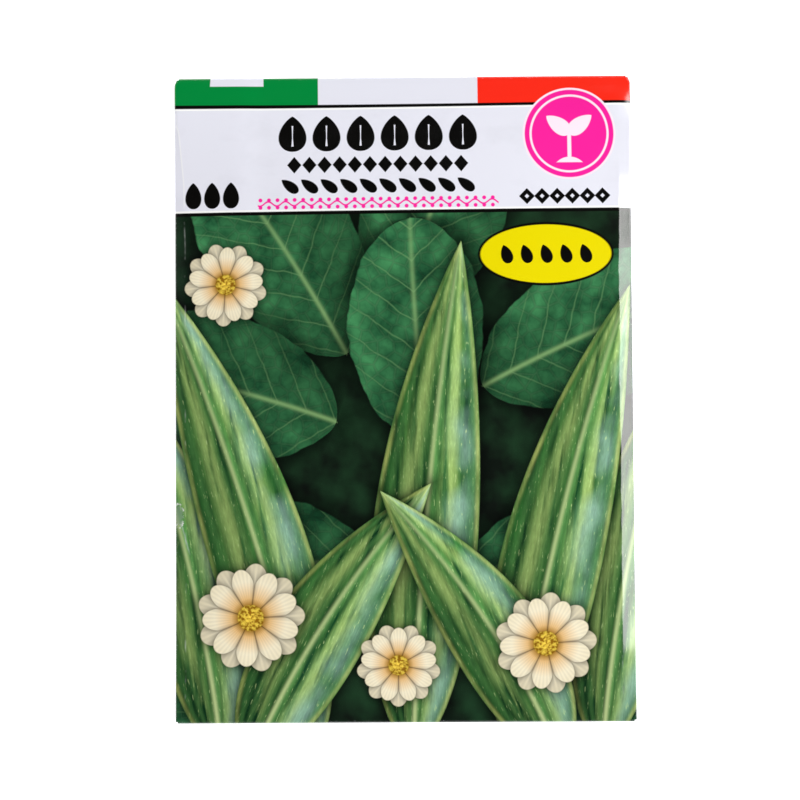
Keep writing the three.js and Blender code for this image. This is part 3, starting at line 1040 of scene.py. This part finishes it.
def flat_sheet(form):
    """The whole cut sheet, laid flat: front, side folds, back, tab, end folds and flaps."""
    bm = bmesh.new()
    edge, side_end = form.half_width, form.side_end
    crown = edge - BAND
    back_end = side_end + 2 * form.half_width - form.BACK_INSET
    band_columns = round(BAND / BAND_COLUMN)
    columns = (
        (-side_end - form.side_tab, -side_end, TAB_COLUMNS), (-side_end, -edge, FOLD_STEPS),
        (-edge, -crown, band_columns), (-crown, crown, CROWN_COLUMNS), (crown, edge, band_columns),
        (edge, side_end, FOLD_STEPS), (side_end, back_end, BACK_COLUMNS))
    for low, high, rows in ((-form.half_length, LOWER_RULE, PICTURE_ROWS),
                            (LOWER_RULE, form.half_length, HEADER_ROWS)):
        for left, right, count in columns:
            add_panel(bm, (left, right), (low, high), count, rows)
    flap_edge = edge - form.FLAP_INSET
    flap_band = round((BAND - form.FLAP_INSET) / BAND_COLUMN)
    for end, reach in ((1, form.top_flap), (-1, form.bottom_flap)):
        for near, far, rows in (
                (form.half_length, form.flap_start, FOLD_STEPS),
                (form.flap_start, form.flap_start + reach, round(reach / FLAP_ROW))):
            along = sorted((end * near, end * far))
            for left, right, count in ((-flap_edge, -crown, flap_band), (-crown, crown, CROWN_COLUMNS),
                                       (crown, flap_edge, flap_band)):
                add_panel(bm, (left, right), along, count, rows)
    bmesh.ops.remove_doubles(bm, verts=bm.verts, dist=0.001)
    crease = bm.verts.layers.float.new("Crease")
    for vert in bm.verts:
        vert[crease] = form.on_crease(vert.co.x, vert.co.y)
        along = min(max(vert.co.y, -form.half_length), form.half_length)
        vert.co.x = form.aligned(vert.co.x, along)
    return bm


HEADER = CELL_COLUMNS * CELL_ROWS
BACK = HEADER + 1
INSIDE = HEADER + 2


def on_print(place, form):
    """Where on the print a place on the sheet lies: the print sits a little turned and bowed."""
    bow = PRINT_BOW * max(1 - (place.x / form.half_width) ** 2, 0)
    across, along = turned(place.x, place.y, PRINT_TURN)
    return across, along + bow


def region(place, form):
    """Which part of the print a place on the flat sheet belongs to."""
    if place.x > form.side_end:
        return BACK
    return HEADER if place.y > LOWER_RULE else cell_at(place, form)


def sheet_materials(form, ink):
    """The picture's cells in order, then the header, the back and the bare inside."""
    groups = picture_groups()
    for row in range(CELL_ROWS):
        for column in range(CELL_COLUMNS):
            yield picture_material(form, ink, groups, column, row)
    yield header_material(form, ink)
    yield back_material(form, ink)
    yield inside_material(ink)


class SEEDPACKET_OT_envelope(bpy.types.Operator):
    """Fold, fill and print the paper envelope"""

    bl_idname = "seedpacket.envelope"
    bl_label = "Envelope"

    def execute(self, context):
        form = FilledForm(context.scene.packet_shape)
        ink = context.scene.packet_ink
        bm = flat_sheet(form)
        sheet = bm.loops.layers.uv.new("Sheet")
        prints = bm.loops.layers.uv.new("Print")
        for face in bm.faces:
            face.smooth = True
            face.material_index = region(face.calc_center_median(), form)
            for loop in face.loops:
                loop[sheet].uv = loop.vert.co.xy
                loop[prints].uv = on_print(loop.vert.co, form)
        for vert in bm.verts:
            vert.co = form.folded(vert.co.x, vert.co.y) * MM
        mesh = finished_mesh("printed_envelope", bm)
        for material in sheet_materials(form, ink):
            mesh.materials.append(material)
        made = add_object("printed_envelope", mesh)
        wall = made.modifiers.new("Paper", "SOLIDIFY")
        wall.thickness = form.paper * MM
        wall.offset = 0.0
        wall.material_offset = INSIDE
        wall.material_offset_rim = INSIDE
        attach(made, "root")
        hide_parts("envelope")
        return {"FINISHED"}


class SEEDPACKET_OT_glue(bpy.types.Operator):
    """Give the three glue strips the look of dried paste"""

    bl_idname = "seedpacket.glue"
    bl_label = "Glue"

    def execute(self, context):
        material = glue_material()
        for name in GLUE_NODES:
            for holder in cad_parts[name].material_slots:
                holder.material = material
        return {"FINISHED"}


class SEEDPACKET_OT_seeds(bpy.types.Operator):
    """Round off the loose seeds and give them their coat"""

    bl_idname = "seedpacket.seeds"
    bl_label = "Seeds"

    def execute(self, context):
        coat = seed_material()
        for name in SEED_NODES:
            bm = bmesh.new()
            bm.from_mesh(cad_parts[name].data)
            bmesh.ops.remove_doubles(bm, verts=bm.verts, dist=0.01 * MM)
            for face in bm.faces:
                face.smooth = True
            mesh = finished_mesh("coated_" + name, bm)
            mesh.materials.append(coat)
            made = add_object("coated_" + name, mesh)
            finer = made.modifiers.new("Rounded", "SUBSURF")
            finer.levels = finer.render_levels = 1
            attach(made, "root")
            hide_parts(name)
        return {"FINISHED"}


# Table, lights and camera

# How far each light is from the packet, and how much stronger the left fill is than the others
LIGHT_AWAY = 0.85
LEFT_FILL_SHARE = 1.62


def add_light(name, power, side, lean, size, tint):
    """A soft light that looks at the packet, on a side and leaning so many degrees from overhead."""
    lamp = bpy.data.lights.new(name, "AREA")
    lamp.shape = "RECTANGLE"
    lamp.size, lamp.size_y = size
    lamp.energy = power
    lamp.color = tint
    made = add_object(name, lamp)
    level = sin(radians(lean)) * LIGHT_AWAY
    made.location = (side[0] * level, side[1] * level, cos(radians(lean)) * LIGHT_AWAY)
    made.rotation_euler = (-made.location).to_track_quat("-Z", "Y").to_euler()
    return made


class SEEDPACKET_OT_stage(bpy.types.Operator):
    """Set the table, the lights and the camera"""

    bl_idname = "seedpacket.stage"
    bl_label = "Stage"

    def execute(self, context):
        studio = context.scene.packet_studio
        self.add_table(studio)
        self.add_lights(context.scene, studio)
        self.add_camera(context.scene)
        context.scene.view_settings.view_transform = "Standard"
        return {"FINISHED"}

    def add_table(self, studio):
        bm = bmesh.new()
        bmesh.ops.create_grid(bm, x_segments=1, y_segments=1, size=3.0)
        bmesh.ops.translate(bm, verts=bm.verts, vec=(0, 0, -0.05 * MM))
        mesh = finished_mesh("table", bm)
        material, _, shader = new_material("Pale table", 0.9)
        set_plain(shader, Base_Color=shade(studio.table), Specular_IOR_Level=0.1,
                  Emission_Color=shade(studio.table), Emission_Strength=studio.table_glow)
        mesh.materials.append(material)
        add_object("table", mesh)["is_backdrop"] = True

    def add_lights(self, scene, studio):
        add_light("Right key", studio.key, (1, 0), 56, (1.15, 0.41), (1.0, 0.99, 0.97))
        left_fill = studio.fill * LEFT_FILL_SHARE
        add_light("Left fill", left_fill, (-1, 0), 60, (0.8, 0.4), (1.0, 0.96, 0.92))
        add_light("Near fill", studio.fill, (0, -1), 60, (0.8, 0.5), (0.97, 0.99, 1.0))
        add_light("Far fill", studio.fill, (0, 1), 60, (0.8, 0.5), (0.97, 0.99, 1.0))
        world = bpy.data.worlds.new("Dim room")
        world.use_nodes = True
        room = world.node_tree.nodes["Background"]
        room.inputs["Color"].default_value = (0.9, 0.95, 1.0, 1.0)
        room.inputs["Strength"].default_value = 0.02
        scene.world = world

    def add_camera(self, scene):
        lens = bpy.data.cameras.new("Camera")
        lens.lens = 85
        lens.sensor_width = 36
        lens.clip_start = 0.01
        camera = add_object("Camera", lens)
        camera.location = CAMERA_PLACE
        camera.rotation_euler = CAMERA_TURN
        scene.camera = camera


class SEEDPACKET_PT_panel(bpy.types.Panel):
    """Seed packet tools"""

    bl_idname = "SEEDPACKET_PT_panel"
    bl_label = "Seed Packet"
    bl_space_type = "VIEW_3D"
    bl_region_type = "UI"
    bl_category = "Seed Packet"

    def draw(self, context):
        for operator in OPERATORS:
            self.layout.operator(operator.bl_idname)
        for name in PROPERTY_GROUPS:
            settings = getattr(context.scene, name)
            for key in settings.__annotations__:
                self.layout.prop(settings, key)


OPERATORS = (SEEDPACKET_OT_envelope, SEEDPACKET_OT_glue, SEEDPACKET_OT_seeds, SEEDPACKET_OT_stage)
PROPERTY_GROUPS = {"packet_shape": PacketShape, "packet_ink": PacketInk, "packet_studio": Studio}
CLASSES = (*PROPERTY_GROUPS.values(), *OPERATORS, SEEDPACKET_PT_panel)


def register():
    for each in CLASSES:
        bpy.utils.register_class(each)
    for name, group in PROPERTY_GROUPS.items():
        setattr(bpy.types.Scene, name, bpy.props.PointerProperty(type=group))


def unregister():
    for name in PROPERTY_GROUPS:
        delattr(bpy.types.Scene, name)
    for each in reversed(CLASSES):
        bpy.utils.unregister_class(each)


def main():
    register()
    bpy.ops.seedpacket.stage()
    bpy.ops.seedpacket.envelope()
    bpy.ops.seedpacket.glue()
    bpy.ops.seedpacket.seeds()
    boxes = {"packed": packed_box, "visual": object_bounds()}
    {name: [list(low), list(high)] for name, (low, high) in boxes.items()}


if __name__ == "__main__":
    main()
